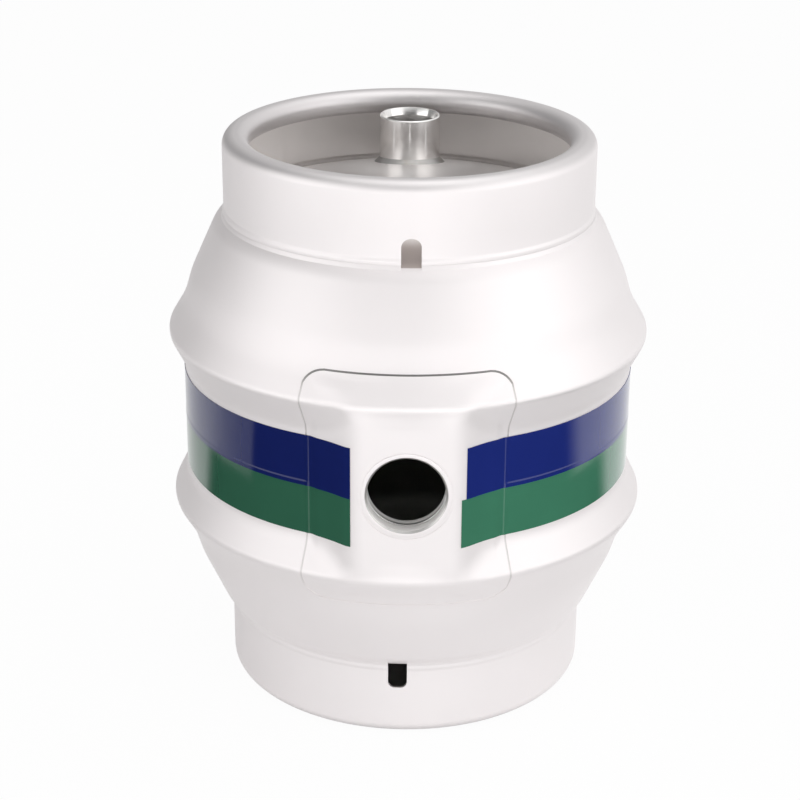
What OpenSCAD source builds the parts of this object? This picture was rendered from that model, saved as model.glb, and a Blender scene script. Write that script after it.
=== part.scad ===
// Upright stainless steel beer cask: two drawn shells, two rolled chimes, a welded-in plate with
// the filling bush, a tap bush on the head, the welds between them and two bands of coloured tape.
// Millimetres. The origin is on the floor under the cask's axis, +Z is up and the filling bush
// faces -Y. Profiles are drawn as [radius, height above mid-height].

/* [Vessel] */
// Height of the cask over both chimes
cask_h = 395; // [375:1:425]
// Diameter of the straight belly between the rolling rings
belly_d = 313; // [300:1:330]
// Sheet thickness of the shells and the shive plate
sheet_t = 1.5; // [1:0.1:3]
// Width of the weld that joins the two shells
girth_weld_w = 1.6; // [0.8:0.1:3]

/* [Rolling rings] */
// How far a ring's crest stands out from the belly
ring_rise = 10; // [7:0.5:15]
// Height of a ring's crest above or below mid-height
ring_z = 61.3; // [54:0.1:70]
// Radius of the crest
crest_r = 6; // [3:0.5:9]
// Half height of the straight belly
belly_half_h = 40; // [36:0.5:46]
// Radius of the bend from the belly to a ring
belly_bend_r = 20; // [8:1:30]
// Height of the flank between a crest and the waist
flank_h = 19; // [14:0.5:24]
// Slope of the flank from upright, in degrees
flank_angle = 31; // [24:1:38]

/* [Shoulders and heads] */
// Height of the waist between a flank and its shoulder
waist_h = 18.7; // [12:0.1:26]
// How far the waist draws in over its height
waist_in = 5.5; // [3:0.1:8]
// Radius of the two bends of the waist
waist_r = 60; // [20:1:90]
// Depth of the head's crown below the rim
head_depth = 35.6; // [30:0.1:42]
// Slope of the head where its knuckle begins, in degrees
head_slope = 16; // [12:0.5:20]
// Radius of the knuckle between the head and the shoulder
knuckle_r = 22; // [14:0.5:28]
// How far the knuckle's corner lies outside the chime
knuckle_out = 4; // [3:0.1:6]

/* [Chimes] */
// Outside diameter of the chimes
chime_d = 254; // [244:1:264]
// Sheet thickness of the chimes
chime_t = 2; // [1.5:0.1:3]
// Width of the rolled rim
roll_w = 18; // [16:0.5:24]
// Radius of the rolled rim's bends, which leave a flat land between them
roll_r = 8; // [5:0.5:8]
// Height of the rolled rim's bead
bead_h = 17; // [16:0.5:22]
// How far the bead's edge curls back under the rim
curl_w = 9; // [8.5:0.5:12]
// How far a chime's foot stands out from its wall
foot_out = 0.7; // [0.3:0.1:1.5]
// Height of a chime's foot
foot_h = 5; // [4:0.5:9]
// Height of the step from the foot to the wall
foot_step = 2; // [1:0.1:3]
// Radius of the bends of that step
foot_bend_r = 4; // [3:0.5:6]
// Number of drain slots in each chime
slot_count = 4; // [1:1:8]
// Width of a drain slot
slot_w = 13; // [9:0.5:18]
// Height of a drain slot above the chime's edge
slot_h = 18; // [12:0.5:26]
// Radius of the closed end of a slot in the top chime
top_slot_r = 6; // [2:0.5:6]
// Radius of the closed end of a slot in the bottom chime
bottom_slot_r = 4.5; // [2:0.5:6]
// How far the slots of the top chime are turned from the front, in degrees
top_slot_turn = 0.8; // [-30:0.1:30]
// How far the slots of the bottom chime are turned from the front, in degrees
bottom_slot_turn = -2.3; // [-30:0.1:30]
// Leg of the weld along a chime's edge
chime_weld_leg = 1.2; // [1:0.1:4]

/* [Shive plate] */
// Half the angle that the plate takes up round the cask
plate_angle = 24.2; // [22:0.1:28]
// How far the plate reaches above and below the crests of the rings
plate_lap = 19; // [14:0.5:24]
// Radius of the plate's corners
plate_corner_r = 17; // [8:0.5:22]
// Width of the weld round the plate
plate_weld_w = 1.2; // [0.6:0.1:2.5]
// Depth of that weld below the sheet's surface
plate_weld_sink = 0.4; // [0.1:0.1:0.8]
// Width of the flat pad
pad_w = 69; // [64:0.5:76]
// How far the pad's face lies inside the crests of the rings
pad_sink = 1.2; // [0.6:0.1:2]
// Slope of the pad's sides from its face, in degrees
pad_side_angle = 40; // [36:0.5:46]
// How far the pad's face stops short of the crests
pad_short = 0.8; // [0.2:0.1:3]
// Slope of the pad's ends from its face, in degrees
pad_end_angle = 42; // [38:0.5:50]

/* [Shive bush] */
// Outside diameter of the bush
shive_bush_d = 58.6; // [50:0.1:62]
// Wall of the bush, which leaves the bore for the shive
shive_bush_t = 3.9; // [3.5:0.1:6]
// Length of the bush
shive_bush_l = 17.5; // [14:0.5:30]
// How far the bush stands out from the pad
shive_bush_proud = 0.3; // [0.1:0.1:2]
// Width of the bevel at the mouth of the bore
shive_mouth = 1.4; // [0.5:0.1:2]
// Width of the groove in the bore
shive_groove_w = 1.6; // [0.8:0.1:3]
// Depth of the groove
shive_groove_t = 0.8; // [0.4:0.1:1.2]
// Distance of the groove from the mouth
shive_groove_y = 9; // [6:0.5:12]
// Height of the bush above mid-height
shive_z = 2; // [-6:0.5:6]
// Width of the weld round the bush
shive_weld_w = 1.4; // [0.8:0.1:2.5]

/* [Keystone bush] */
// Outside diameter of the bush
keystone_bush_d = 43; // [37:0.1:48]
// Wall of the bush, which leaves the bore for the keystone
keystone_bush_t = 3.25; // [3.15:0.05:5]
// Distance of the bush from the cask's axis
keystone_y = 76.5; // [66:0.5:80]
// Depth of the bush's top below the rim
keystone_drop = 8.5; // [6:0.5:16]
// How far the bush reaches below the head
keystone_reach = 9; // [6:0.5:16]
// Width of the bevels on the bush
keystone_bevel = 0.6; // [0.4:0.1:0.9]
// Width of the flare at the mouth of the bore
keystone_mouth = 2; // [0.5:0.1:2.2]
// Depth of that flare
keystone_mouth_h = 5; // [2:0.5:8]
// Leg of the weld at the foot of the bush
keystone_weld_leg = 3; // [2:0.1:5]

/* [Tape bands] */
// Thickness of the tape
band_t = 0.4; // [0.2:0.1:0.8]
// Width of the blue band
blue_w = 35.6; // [26:0.1:36]
// Width of the green band
green_w = 33.9; // [26:0.1:35]
// Height of the line between the bands above mid-height
band_joint_z = -1.6; // [-4:0.1:4]
// Distance of both bands' left ends from the middle of the pad
band_left = 36; // [34.5:0.1:42]
// Distance of the blue band's right end from the middle of the pad
blue_right = 38.5; // [34.5:0.1:42]
// Distance of the green band's right end from the middle of the pad
green_right = 35.5; // [34.5:0.1:42]

/* [Hidden] */
$fn = 180;

steel = [0.84, 0.84, 0.85];
turned_steel = [0.74, 0.75, 0.77];
weld_grey = [0.60, 0.60, 0.62];
tape_blue = [0.09, 0.13, 0.42];
tape_green = [0.11, 0.38, 0.25];

// Gap between pieces that a weld then holds
seat_gap = 0.05;
// Overrun of a cutting shape past what it cuts
past = 5;
// Steps in a bend of a profile
bend_steps = 8;

mid_z = cask_h / 2;
belly_r = belly_d / 2;
ring_r = belly_r + ring_rise;
chime_r = chime_d / 2;
foot_r = chime_r + foot_out;
crown_z = mid_z - head_depth;

// The head's knuckle turns about 53 degrees, so its bend runs for half its radius each way.
knuckle_run = knuckle_r / 2;
dome_r = (chime_r + knuckle_out - knuckle_run * cos(head_slope)) / sin(head_slope);

pad_y = ring_r - pad_sink;
pad_top = ring_z - pad_short;
plate_half_h = ring_z + plate_lap;
plate_half_w = ring_r * sin(plate_angle);
shive_bore_d = shive_bush_d - 2 * shive_bush_t;
shive_hole_d = shive_bush_d + 2 * shive_weld_w;
shive_face_y = pad_y + shive_bush_proud;
keystone_bore_d = keystone_bush_d - 2 * keystone_bush_t;

// Plane geometry: directions, bends and parallel paths

function unit(v) = v / norm(v);
function left(v) = [-v[1], v[0]];
function turned(v, a) = [v[0] * cos(a) - v[1] * sin(a), v[0] * sin(a) + v[1] * cos(a)];
function turn(a, b, c) = atan2(cross(unit(b - a), unit(c - b)), unit(b - a) * unit(c - b));
function spots(path) = [for (p = path) [p[0], p[1]]];
function flipped(path) = [for (p = path) [p[0], -p[1]]];
function backwards(path) = [for (i = [len(path) - 1:-1:0]) path[i]];

// Length of straight that the bend at corner i may use up
function room(p, i) = min(
    norm(p[i] - p[i - 1]) * (i == 1 ? 1 : 0.5),
    norm(p[i + 1] - p[i]) * (i == len(p) - 2 ? 1 : 0.5));

// Points of a bend of radius r at corner i
function bend(p, i, r) = let(
    t = turn(p[i - 1], p[i], p[i + 1]),
    fit = min(r, room(p, i) / tan(abs(t) / 2)),
    u = unit(p[i] - p[i - 1]),
    spoke = left(u) * sign(t) * fit,
    centre = p[i] - u * fit * tan(abs(t) / 2) + spoke)
    [for (k = [0:bend_steps]) centre - turned(spoke, t * k / bend_steps)];

// A path of [x, y, bend radius] corners with its bends drawn
function bent(path) = let(p = spots(path)) [
    p[0],
    for (i = [1:len(p) - 2]) each bend(p, i, path[i][2]),
    p[len(p) - 1]];

// The same path moved d to its left, with its bends kept concentric
function beside(path, d) = let(p = spots(path), last = len(p) - 1) [
    for (i = [0:last]) let(
        n1 = left(unit(i == 0 ? p[1] - p[0] : p[i] - p[i - 1])),
        n2 = left(unit(i == last ? p[i] - p[i - 1] : p[i + 1] - p[i])),
        q = p[i] + d * (n1 + n2) / (1 + n1 * n2),
        side = i == 0 || i == last ? 0 : sign(turn(p[i - 1], p[i], p[i + 1])))
        [q[0], q[1], path[i][2] - d * side]];

// Profile of a shell, from the crown of its head to the belly

dome_end = [dome_r * sin(head_slope), crown_z - dome_r * (1 - cos(head_slope))];
knuckle = dome_end + knuckle_run * [cos(head_slope), -sin(head_slope)];
crest_turn = flank_angle + atan(ring_rise / (ring_z - belly_half_h));
crest = [ring_r + crest_r * (1 / cos(crest_turn / 2) - 1), ring_z];
flank = crest + flank_h * [-tan(flank_angle), 1];
waist = flank + [-waist_in, waist_h];

function shell_corners(end_z) = [
    [dome_end[0], dome_end[1], 0],
    [knuckle[0], knuckle[1], knuckle_r],
    [waist[0], waist[1], waist_r],
    [flank[0], flank[1], waist_r],
    [crest[0], crest[1], crest_r],
    [belly_r, belly_half_h, belly_bend_r],
    [belly_r, end_z, 0]];

function dome(d) = [for (k = [0:bend_steps - 1]) let(a = head_slope * k / bend_steps)
    [(dome_r + d) * sin(a), crown_z - dome_r + (dome_r + d) * cos(a)]];

// The shell's outer face moved out by d, ending at height end_z on the belly
function shell_path(d, end_z) = concat(dome(d), bent(beside(shell_corners(end_z), d)));

// Height of the head's outer face at radius r, as far out as the knuckle
head_table = [for (p = shell_path(0, 0)) if (p[0] <= knuckle[0] && p[1] > plate_half_h) p];
function head_z(r) = lookup(r, head_table);

// The whole vessel as a solid whose faces lie d outside the shells' outer faces
module vessel(d) {
    half = shell_path(d, 0);
    rotate_extrude()
        polygon(concat(half, backwards(flipped(half))));
}

// The pad's faces, moved out by d
module pad(d) {
    half_w = pad_w / 2 + d * tan(pad_side_angle / 2);
    half_h = pad_top + d * tan(pad_end_angle / 2);
    face = pad_y + d;
    side = [sin(pad_side_angle), -cos(pad_side_angle)];
    back = side * (half_w * side[0] - face * side[1]);
    rise = plate_lap * 2;
    fall = rise * tan(pad_end_angle);
    intersection() {
        translate([0, 0, -plate_half_h - past])
            linear_extrude(2 * (plate_half_h + past))
                polygon([
                    [-half_w, -face], [half_w, -face], back, [-back[0], back[1]]]);
        rotate([90, 0, 90])
            translate([0, 0, -belly_r])
                linear_extrude(belly_d)
                    polygon([
                        [-face, -half_h], [-face, half_h],
                        [fall - face, half_h + rise], [fall - face, -half_h - rise]]);
    }
}

// The vessel with its pad
module padded_vessel(d) {
    vessel(d);
    pad(d);
}

module rounded_rectangle(w, h, r) {
    square([w - 2 * r, h], center = true);
    square([w, h - 2 * r], center = true);
    for (x = [-1, 1], y = [-1, 1])
        translate([x * (w / 2 - r), y * (h / 2 - r)])
            circle(r);
}

// The plate's outline, grown by d: two planes through the cask's axis and a rounded rectangle
module window(d) {
    reach = 2 * belly_d;
    intersection() {
        translate([0, d / sin(plate_angle), -reach / 2])
            linear_extrude(reach)
                polygon([
                    [0, 0],
                    [-reach * tan(plate_angle), -reach],
                    [reach * tan(plate_angle), -reach]]);
        rotate([90, 0, 0])
            linear_extrude(reach)
                rounded_rectangle(
                    2 * (plate_half_w + d), 2 * (plate_half_h + d), plate_corner_r + d);
    }
}

// Wall of one shell, upper half, with the plate's opening cut out
module half_shell() {
    end_z = girth_weld_w / 2;
    difference() {
        rotate_extrude()
            polygon(concat(shell_path(0, end_z), backwards(shell_path(-sheet_t, end_z))));
        window(plate_weld_w);
    }
}

// Moves a shape onto the keystone bush's axis, at height z
module at_keystone(z) {
    translate([0, keystone_y, z])
        children();
}

module upper_shell() {
    color(steel)
        translate([0, 0, mid_z])
            difference() {
                half_shell();
                at_keystone(0)
                    cylinder(d = keystone_bush_d + 2 * seat_gap, h = mid_z);
            }
}

module lower_shell() {
    color(steel)
        translate([0, 0, mid_z])
            mirror([0, 0, 1])
                half_shell();
}

module girth_weld() {
    color(weld_grey)
        translate([0, 0, mid_z])
            difference() {
                rotate_extrude()
                    translate([belly_r - sheet_t, -girth_weld_w / 2])
                        square([sheet_t, girth_weld_w]);
                window(plate_weld_w);
            }
}

// A shape round the shive bush's axis, with its profile's height counted inwards from the face
module round_shive() {
    translate([0, -shive_face_y, shive_z])
        rotate([-90, 0, 0])
            rotate_extrude()
                children();
}

module shive_plate() {
    color(steel)
        translate([0, 0, mid_z])
            difference() {
                intersection() {
                    padded_vessel(0);
                    window(0);
                }
                padded_vessel(-sheet_t);
                round_shive()
                    translate([0, -past])
                        square([shive_hole_d / 2, shive_bush_l + past]);
            }
}

module shive_plate_weld() {
    color(weld_grey)
        translate([0, 0, mid_z])
            difference() {
                intersection() {
                    vessel(-plate_weld_sink);
                    window(plate_weld_w);
                }
                vessel(-sheet_t);
                window(0);
            }
}

module shive_bush() {
    bore_r = shive_bore_d / 2;
    groove_end = shive_groove_y + shive_groove_w;
    color(turned_steel)
        translate([0, 0, mid_z])
            round_shive()
                polygon([
                    [bore_r + shive_mouth, 0], [shive_bush_d / 2, 0],
                    [shive_bush_d / 2, shive_bush_l], [bore_r, shive_bush_l],
                    [bore_r, groove_end], [bore_r + shive_groove_t, groove_end],
                    [bore_r + shive_groove_t, shive_groove_y], [bore_r, shive_groove_y],
                    [bore_r, shive_mouth]]);
}

module shive_bush_weld() {
    front = shive_bush_proud + plate_weld_sink;
    back = shive_bush_proud + sheet_t;
    color(weld_grey)
        translate([0, 0, mid_z])
            round_shive()
                polygon([
                    [shive_bush_d / 2, front], [shive_hole_d / 2, front],
                    [shive_hole_d / 2, back], [shive_hole_d / 2 + shive_weld_w, back],
                    [shive_bush_d / 2, back + 2 * shive_weld_w]]);
}

keystone_foot = head_z(keystone_y) - keystone_reach;
keystone_l = mid_z - keystone_drop - keystone_foot;

module keystone_bush() {
    bore_r = keystone_bore_d / 2;
    rim_r = keystone_bush_d / 2;
    b = keystone_bevel;
    color(turned_steel)
        translate([0, 0, mid_z])
            at_keystone(keystone_foot)
                rotate_extrude()
                    polygon([
                        [bore_r, 0], [rim_r - b, 0], [rim_r, b],
                        [rim_r, keystone_l - b], [rim_r - b, keystone_l],
                        [bore_r + keystone_mouth, keystone_l],
                        [bore_r, keystone_l - keystone_mouth_h]]);
}

module keystone_bush_weld() {
    rim_r = keystone_bush_d / 2;
    tilt = asin(keystone_y / dome_r);
    color(weld_grey)
        translate([0, 0, mid_z])
            difference() {
                at_keystone(head_z(keystone_y))
                    rotate([-tilt, 0, 0])
                        translate([0, 0, -keystone_weld_leg])
                            cylinder(
                                r1 = rim_r + 2 * keystone_weld_leg, r2 = rim_r,
                                h = 2 * keystone_weld_leg);
                vessel(0);
                at_keystone(0)
                    cylinder(d = keystone_bush_d, h = mid_z);
            }
}

// Lower edge of the top chime, standing on the knuckle
chime_foot_z = head_z(foot_r - chime_t) + seat_gap;

chime_corners = [
    [foot_r, chime_foot_z, 0],
    [foot_r, chime_foot_z + foot_h - foot_step, foot_bend_r],
    [chime_r, chime_foot_z + foot_h, foot_bend_r],
    [chime_r, mid_z, roll_r],
    [chime_r - roll_w, mid_z, roll_r],
    [chime_r - roll_w, mid_z - bead_h, roll_r],
    [chime_r - roll_w + curl_w, mid_z - bead_h, 0]];

// The drain slots through a chime and its weld, open at the chime's lower edge
module slots(end_r, turn) {
    for (k = [0:slot_count - 1])
        rotate(360 / slot_count * k + turn)
            translate([0, past - chime_r + roll_w / 2, chime_foot_z])
                rotate([90, 0, 0])
                    linear_extrude(roll_w / 2 + 2 * past) {
                        translate([-slot_w / 2, -past - chime_weld_leg])
                            square([slot_w, slot_h - end_r + past + chime_weld_leg]);
                        translate([-slot_w / 2 + end_r, 0])
                            square([slot_w - 2 * end_r, slot_h]);
                        for (x = [-1, 1])
                            translate([x * (slot_w / 2 - end_r), slot_h - end_r])
                                circle(end_r);
                    }
}

module chime(end_r, turn) {
    difference() {
        rotate_extrude()
            polygon(concat(bent(chime_corners), backwards(bent(beside(chime_corners, chime_t)))));
        slots(end_r, turn);
    }
}

// Weld between a chime's edge and the knuckle, stopping at the slots
module chime_weld(end_r, turn) {
    leg = chime_weld_leg;
    difference() {
        rotate_extrude()
            polygon([
                [foot_r - chime_t, chime_foot_z], [foot_r, chime_foot_z],
                [foot_r, chime_foot_z + leg / 2],
                [foot_r + leg, head_z(foot_r + leg)],
                [foot_r + leg, head_z(foot_r + leg) - leg],
                [foot_r - chime_t, head_z(foot_r - chime_t) - 2 * leg]]);
        vessel(0);
        slots(end_r, turn);
    }
}

module top_chime() {
    color(steel)
        translate([0, 0, mid_z])
            chime(top_slot_r, top_slot_turn);
}

module top_chime_weld() {
    color(weld_grey)
        translate([0, 0, mid_z])
            chime_weld(top_slot_r, top_slot_turn);
}

module bottom_chime() {
    color(steel)
        translate([0, 0, mid_z])
            mirror([0, 0, 1])
                chime(bottom_slot_r, bottom_slot_turn);
}

module bottom_chime_weld() {
    color(weld_grey)
        translate([0, 0, mid_z])
            mirror([0, 0, 1])
                chime_weld(bottom_slot_r, bottom_slot_turn);
}

// A band of tape on the belly and the plate's flanks, from height low up to high
module band(low, high, right) {
    reach = belly_d;
    translate([0, 0, mid_z])
        intersection() {
            difference() {
                padded_vessel(band_t);
                padded_vessel(0);
                translate([-band_left, -reach, -reach])
                    cube([band_left + right, reach, 2 * reach]);
            }
            translate([-reach, -reach, low])
                cube([2 * reach, 2 * reach, high - low]);
        }
}

module blue_band() {
    color(tape_blue)
        band(band_joint_z, band_joint_z + blue_w, blue_right);
}

module green_band() {
    color(tape_green)
        band(band_joint_z - green_w, band_joint_z, green_right);
}

upper_shell();
lower_shell();
girth_weld();
shive_plate();
shive_plate_weld();
shive_bush();
shive_bush_weld();
keystone_bush();
keystone_bush_weld();
top_chime();
top_chime_weld();
bottom_chime();
bottom_chime_weld();
blue_band();
green_band();
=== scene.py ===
"""Looks of an upright steel beer cask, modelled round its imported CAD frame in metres, +Z up."""

import math
from bisect import bisect_left

import bmesh
import bpy
from bpy.props import FloatProperty, FloatVectorProperty, IntProperty, PointerProperty
from mathutils import Matrix, Vector


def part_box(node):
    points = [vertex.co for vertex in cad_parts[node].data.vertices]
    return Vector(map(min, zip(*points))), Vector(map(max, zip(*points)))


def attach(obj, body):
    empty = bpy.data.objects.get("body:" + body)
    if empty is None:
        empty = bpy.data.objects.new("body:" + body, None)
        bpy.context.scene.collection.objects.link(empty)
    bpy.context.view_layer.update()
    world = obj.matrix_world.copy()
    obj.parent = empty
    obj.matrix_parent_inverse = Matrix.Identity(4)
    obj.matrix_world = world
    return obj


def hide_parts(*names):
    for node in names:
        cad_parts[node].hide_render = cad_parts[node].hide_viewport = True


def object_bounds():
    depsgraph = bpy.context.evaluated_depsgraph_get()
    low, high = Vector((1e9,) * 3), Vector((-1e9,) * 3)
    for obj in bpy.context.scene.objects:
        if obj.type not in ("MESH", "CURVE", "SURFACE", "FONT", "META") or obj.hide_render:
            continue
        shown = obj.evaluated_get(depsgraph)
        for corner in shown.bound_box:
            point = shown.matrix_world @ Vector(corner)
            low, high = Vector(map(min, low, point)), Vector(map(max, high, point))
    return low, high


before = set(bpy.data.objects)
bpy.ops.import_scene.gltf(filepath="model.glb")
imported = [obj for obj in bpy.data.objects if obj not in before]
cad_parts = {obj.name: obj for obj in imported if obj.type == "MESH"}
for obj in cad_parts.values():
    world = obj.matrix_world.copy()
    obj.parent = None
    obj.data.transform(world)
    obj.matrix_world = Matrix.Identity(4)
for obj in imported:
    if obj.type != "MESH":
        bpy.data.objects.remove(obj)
CAD_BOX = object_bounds()

bl_info = {
    "name": "Beer Cask",
    "version": (1, 0, 0),
    "blender": (4, 5, 0),
    "location": "View3D > Sidebar > Cask",
    "description": "Models an upright steel beer cask with tape bands, and sets up its studio",
    "category": "Add Mesh",
}

MM = 0.001

# Steps round the cask, step of a bend and its least chord, and the edge angle above which shading breaks
ROUND_STEPS = 192
BEND_STEP = math.radians(3)
BEND_CHORD = 0.3 * MM
SHARP_ANGLE = math.radians(25)
# Edges of a sheet that turn by more than this are broken
BROKEN_ANGLE = math.radians(60)
# Distance at which two vertices are one
SAME_SPOT = 1e-6
X_AXIS = Vector((1, 0, 0))
Y_AXIS = Vector((0, 1, 0))
Z_AXIS = Vector((0, 0, 1))

# Flat sides of the round cuts
PLATE_CORNER_SIDES = 10
SLOT_CORNER_SIDES = 6
TAP_HOLE_SIDES = 48
PAD_HOLE_SIDES = 72
# How far cuts look for faces: past the plate in widths of its weld, and from a hole's middle in its radii
PLATE_REACH = 4
PAD_HOLE_REACH = 1.2
TAP_HOLE_REACH = 2
# How much the plate's grid is larger than its outline, before it is trimmed
GRID_SPARE_TURN = 1.05
GRID_SPARE_H = 1.03
# Height above a slot at which the chime's faces are split, in widths of a broken edge
SPARE_EDGES = 3
# Share of the filling bush's bevel that has the finish of the mouth
MOUTH_SHARE = 0.95

# Mesh of the tape: its step round the cask, its rows, and the fine lines on each side of a seam or lap,
# with their step in widths of the seam
TAPE_STEP = math.radians(0.9)
TAPE_ROWS = 18
FINE_LINES = 8
FINE_STEP = 0.25
# How sharply the lap ends at its edge and by the plate's weld, and the solid share of the tape's lift
LAP_STEEPNESS = 4
LAP_END_STEEPNESS = 3
TAPE_SOLID = 0.9
# Rounds of the search for the angle at which a band ends
END_TRIES = 20

# Least roughness of the finishes
SATIN_ROUGH = 0.56
HEAD_ROUGH = 0.3
WALL_ROUGH = 0.42
MOUTH_ROUGH = 0.32
DULL_ROUGH = 0.5
POLISHED_ROUGH = 0.3
WELD_ROUGH = 0.38
FLUSH_ROUGH = 0.62
TAPE_ROUGH = 0.07
# How far worked steel stretches its highlights, and the turns that run them along or across its lines
HEAD_STRETCH = 0.7
WALL_STRETCH = 1.0
UNSTRETCHED = 0.0
ALONG_LINES = 0.0
ACROSS_LINES = 0.25
# Places of y and z among the parts of a vector, for the axes that the bushes are turned about
Y_PART = 1
Z_PART = 2
# Patterns per metre: scratches of the sheet, lines of spun steel, tool marks and rubs of the tape
SCRATCH_SCALES = (9.0, 9.0, 650.0)
SPUN_LINES = 700.0
TOOL_MARKS = 2600.0
RUB_SCALES = (30.0, 30.0, 900.0)
# Heights of the patterns
GRAIN_T = 0.06 * MM
LINES_T = 0.03 * MM
MARKS_T = 0.02 * MM
RIPPLES_T = 0.2 * MM
WAVES_T = 0.4 * MM
# Wear of the satin sheet on the crests of the rings, and on the rims wear together with painted shade that
# darkens them
CREST_RUB_T = 1.6 * MM
CREST_RUB_H = 5 * MM
RIM_SHADE_AND_WEAR_BELOW = 6 * MM
RIM_SHADE_AND_WEAR_ABOVE = 2 * MM
# Painted shade, a little brown, by the slots and round the edges of the heads: where it begins and is full
# inside the chime, its waver, and what it leaves of each colour
SLOT_SHADE_FROM = 40 * MM
SLOT_SHADE_FULL = 14 * MM
SLOT_SHADE_WAVER = 6 * MM
SLOT_SHADE_SHARES = (0.52, 0.47, 0.45)
# A radius of painted shade that no surface of the cask reaches
OUT_OF_REACH = 1.0
# What a weld's straw tint leaves of each colour
STRAW_SHARES = (0.96, 0.86, 0.72)
# Width over which the polished band of a bore begins and ends
POLISH_EDGE = 1.5 * MM
# Half width over which painted light makes the tape paler towards its right, and how much paler its worn
# parts are
PAINTED_LIGHT_HALF_W = 60 * MM
TAPE_PALER = 1.25

# Stage: its white, the floor's steps, the edge of its shade, and where its shine changes
WHITE = (1.0, 1.0, 1.0, 1.0)
FLOOR_STEPS = 8
SHADE_EDGE = 1.02
SHINE_HALF_W = 0.4
# Height and steps of the dark card, and the half width over which its inner part ends
CARD_Z = 2 * MM
CARD_STEPS = 24
CARD_STEP_HALF_W = 15 * MM
# Heights on a unit sphere at which the sky overhead begins and is full
OVERHEAD_FROM = 0.5
OVERHEAD_FULL = 0.9
# Width of the camera's sensor in millimetres
SENSOR_W = 36

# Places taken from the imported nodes
MID_Z = (CAD_BOX[0].z + CAD_BOX[1].z) / 2
SHELL_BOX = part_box("upper_shell")
CHIME_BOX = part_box("top_chime")
PLATE_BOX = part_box("shive_plate")
PLATE_H = PLATE_BOX[1].z - PLATE_BOX[0].z
SHIVE_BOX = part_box("shive_bush")
SHIVE_Z = (SHIVE_BOX[0].z + SHIVE_BOX[1].z) / 2
KEYSTONE_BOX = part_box("keystone_bush")
KEYSTONE_Y = (KEYSTONE_BOX[0].y + KEYSTONE_BOX[1].y) / 2
BLUE_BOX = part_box("blue_band")
GREEN_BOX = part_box("green_band")


def length(name, description, default):
    """A size in metres that a user can change."""
    return FloatProperty(name=name, description=description, default=default, unit="LENGTH", precision=4)


def angle(name, description, degrees):
    """An angle that a user can change."""
    return FloatProperty(name=name, description=description, default=math.radians(degrees), subtype="ANGLE")


def number(name, description, default):
    """A plain factor that a user can change."""
    return FloatProperty(name=name, description=description, default=default)


def colour(name, description, default):
    """A linear colour that a user can change."""
    return FloatVectorProperty(
        name=name, description=description, default=default, subtype="COLOR", size=3, min=0, max=1
    )


class VesselSizes(bpy.types.PropertyGroup):
    """Profile of the two shells, as radii and as heights above mid-height."""

    mid_z: length("Mid-height", "Height of the girth weld above the floor", MID_Z)
    sheet: length("Sheet", "Thickness of the shells and the shive plate", 1.5 * MM)
    girth_gap: length("Girth gap", "Half width of the weld between the shells", 0.8 * MM)
    belly_r: length("Belly radius", "Radius of the straight belly", 156.5 * MM)
    belly_half_h: length("Belly half height", "Where the belly bends out to a ring", 40 * MM)
    belly_bend_r: length("Belly bend", "Radius of that bend", 20 * MM)
    ring_r: length("Ring radius", "Radius of a rolling ring's crest", SHELL_BOX[1].x)
    ring_z: length("Ring height", "Height of a ring's crest", 61.3 * MM)
    crest_r: length("Crest bend", "Radius of the crest's bend", 6 * MM)
    flank_h: length("Flank height", "Height from the crest to the end of its flank", 19 * MM)
    flank_angle: angle("Flank slope", "Slope of the flank from upright", 31)
    waist_h: length("Waist height", "Height of the waist above the flank", 18.7 * MM)
    waist_in: length("Waist draw", "How far the waist draws in", 5.5 * MM)
    waist_r: length("Waist bend", "Radius of the waist's bends", 60 * MM)
    crown_z: length("Crown", "Height of the head's crown", SHELL_BOX[1].z - MID_Z)
    head_slope: angle("Head slope", "Slope of the head where its knuckle begins", 16)
    knuckle_x: length("Knuckle corner", "Radius of the corner between head and shoulder", 131 * MM)
    knuckle_r: length("Knuckle bend", "Radius of the knuckle", 22 * MM)


class ChimeSizes(bpy.types.PropertyGroup):
    """Profile and slots of the two chimes."""

    sheet: length("Sheet", "Thickness of the chimes", 2 * MM)
    rim_z: length("Rim", "Height of the rim above mid-height", CHIME_BOX[1].z - MID_Z)
    foot_z: length("Foot", "Height of the welded edge above mid-height", CHIME_BOX[0].z - MID_Z)
    foot_r: length("Foot radius", "Radius of the welded edge", CHIME_BOX[1].x)
    foot_out: length("Foot step", "How far the foot stands out from the wall", 0.7 * MM)
    foot_h: length("Foot height", "Height of the foot with its step", 5 * MM)
    step_h: length("Step height", "Height of the step from the foot to the wall", 2 * MM)
    step_r: length("Step bend", "Radius of the step's bends", 4 * MM)
    roll_w: length("Roll width", "Width of the rolled rim", 18 * MM)
    roll_r: length("Roll bend", "Radius of the rolled rim's bends", 8 * MM)
    bead_h: length("Bead height", "Height of the rolled rim's bead", 17 * MM)
    curl_w: length("Curl", "How far the bead's edge curls back under the rim", 9 * MM)
    slot_count: IntProperty(name="Slots", description="Drain slots in each chime", default=4, min=1)
    slot_w: length("Slot width", "Width of a drain slot", 13 * MM)
    slot_h: length("Slot height", "Height of a drain slot above the welded edge", 18 * MM)
    top_slot_r: length("Top slot end", "Radius of a slot's closed end in the top chime", 6 * MM)
    bottom_slot_r: length("Bottom slot end", "The same in the bottom chime", 4.5 * MM)
    top_slot_turn: angle("Top slot turn", "How far the top chime's slots are turned from the front", 0.8)
    bottom_slot_turn: angle("Bottom slot turn", "The same in the bottom chime", -2.3)
    edge_r: length("Edge", "Width of the broken edges of the sheet", 0.35 * MM)


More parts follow.
